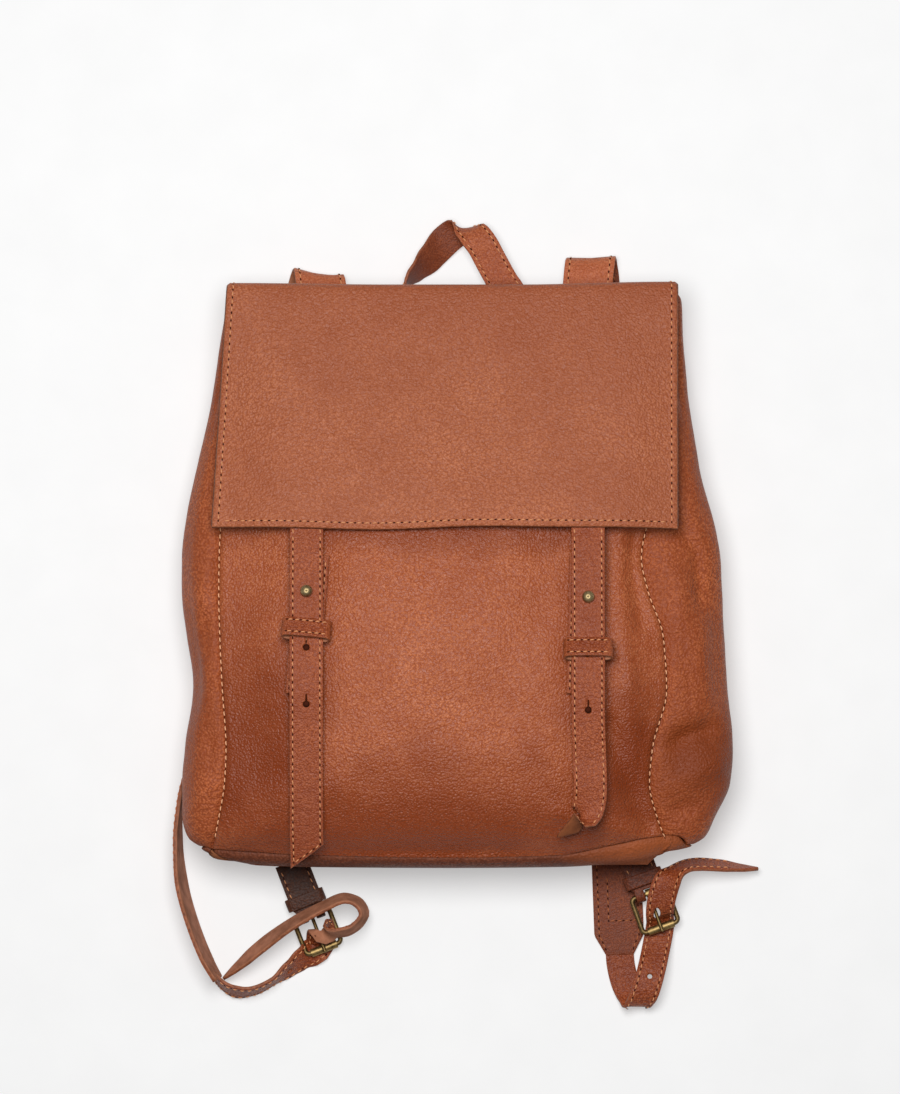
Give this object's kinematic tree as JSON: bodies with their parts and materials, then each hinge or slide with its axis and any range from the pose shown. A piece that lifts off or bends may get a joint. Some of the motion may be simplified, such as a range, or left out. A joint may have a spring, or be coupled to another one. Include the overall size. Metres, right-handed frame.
{
  "type": "leather backpack",
  "caption": "Tan leather backpack lying on its back: folding flap closed by two stud straps with keepers, twisted grab handle, buckled shoulder straps.",
  "frame": {"origin": "middle of the whole part's bounding box, on the surface that the bag lies on", "axes": "+Y from the base towards the grab handle, +Z out of the front of the bag, +X to the viewer's right when looking at the front"},
  "size_m": [0.3544, 0.4719, 0.0955],
  "materials": {
    "panel_leather": "pebbled, semi-matt",
    "flap_leather": "pebbled, semi-matt",
    "gusset_leather": "pebbled, slight sheen",
    "strap_leather": "smooth, waxed",
    "antique_brass": "antiqued, worn"
  },
  "bodies": {
    "bag": {"front_panel": "panel_leather", "back_panel": "gusset_leather", "base_panel": "gusset_leather", "flap_rear_seam": "flap_leather", "gusset_left": "gusset_leather", "backing_strip_left": "strap_leather", "stud_left": "antique_brass", "stud_screw_left": "antique_brass", "handle_end_left": "strap_leather", "shoulder_strap_left": "strap_leather", "adjuster_strap_left": "strap_leather", "chape_left": "strap_leather", "chape_keeper_left": "strap_leather", "gusset_right": "gusset_leather", "backing_strip_right": "strap_leather", "stud_right": "antique_brass", "stud_screw_right": "antique_brass", "handle_end_right": "strap_leather", "shoulder_strap_right": "strap_leather", "adjuster_strap_right": "strap_leather", "chape_right": "strap_leather", "chape_keeper_right": "strap_leather"},
    "flap_band": {"flap_top_band": "flap_leather"},
    "flap": {"flap": "flap_leather", "closure_sewn_end_left": "strap_leather", "closure_sewn_end_right": "strap_leather"},
    "handle": {"grab_handle": "strap_leather"},
    "closure_strap_left": {"closure_strap_left": "strap_leather"},
    "keeper_left": {"keeper_left": "strap_leather"},
    "buckle_frame_left": {"buckle_frame_left": "antique_brass"},
    "prong_left": {"prong_left": "antique_brass"},
    "roller_left": {"roller_left": "antique_brass"},
    "closure_strap_right": {"closure_strap_right": "strap_leather"},
    "keeper_right": {"keeper_right": "strap_leather"},
    "buckle_frame_right": {"buckle_frame_right": "antique_brass"},
    "prong_right": {"prong_right": "antique_brass"},
    "roller_right": {"roller_right": "antique_brass"}
  },
  "joints": [
    {"name": "flap_back_hinge", "type": "hinge", "parent": "bag", "child": "flap_band", "pos_m": [-0.0077, 0.1918, 0.0158], "axis": [-1, 0, 0], "range_deg": [0, 30]},
    {"name": "flap_fold_hinge", "type": "hinge", "parent": "flap_band", "child": "flap", "pos_m": [-0.0077, 0.1998, 0.0526], "axis": [-1, 0, 0], "range_deg": [0, 110]},
    {"name": "handle_swing", "type": "hinge", "parent": "bag", "child": "handle", "pos_m": [-0.0077, 0.1918, 0.01425], "axis": [-1, 0, 0], "range_deg": [-35, 0]},
    {"name": "closure_strap_lift_left", "type": "hinge", "parent": "flap", "child": "closure_strap_left", "pos_m": [-0.0957, 0.0525, 0.0792], "axis": [-1, 0, 0], "range_deg": [0, 60]},
    {"name": "keeper_slide_left", "type": "slide", "parent": "closure_strap_left", "child": "keeper_left", "axis": [0, -0.9885, 0.1515], "range_m": [-0.01, 0.01]},
    {"name": "buckle_tilt_left", "type": "hinge", "parent": "bag", "child": "buckle_frame_left", "pos_m": [-0.0941, -0.1808, 0.0064], "axis": [-0.933, -0.36, 0], "range_deg": [0, 5]},
    {"name": "prong_lift_left", "type": "hinge", "parent": "buckle_frame_left", "child": "prong_left", "pos_m": [-0.0941, -0.1808, 0.0064], "axis": [-0.933, -0.36, 0], "range_deg": [0, 5]},
    {"name": "roller_spin_left", "type": "hinge", "parent": "buckle_frame_left", "child": "roller_left", "pos_m": [-0.08618, -0.20133, 0.0064], "axis": [-0.933, -0.36, 0], "continuous": true},
    {"name": "closure_strap_lift_right", "type": "hinge", "parent": "flap", "child": "closure_strap_right", "pos_m": [0.0723, 0.0525, 0.0792], "axis": [-1, 0, 0], "range_deg": [0, 60]},
    {"name": "keeper_slide_right", "type": "slide", "parent": "closure_strap_right", "child": "keeper_right", "axis": [0, -0.9891, 0.1472], "range_m": [-0.01, 0.01]},
    {"name": "buckle_tilt_right", "type": "hinge", "parent": "bag", "child": "buckle_frame_right", "pos_m": [0.11, -0.1679, 0.0094], "axis": [-0.9401, -0.341, 0], "range_deg": [0, 5]},
    {"name": "prong_lift_right", "type": "hinge", "parent": "buckle_frame_right", "child": "prong_right", "pos_m": [0.11, -0.1679, 0.0094], "axis": [-0.9401, -0.341, 0], "range_deg": [0, 5]},
    {"name": "roller_spin_right", "type": "hinge", "parent": "buckle_frame_right", "child": "roller_right", "pos_m": [0.1175, -0.18858, 0.0094], "axis": [-0.9401, -0.341, 0], "continuous": true}
  ]
}
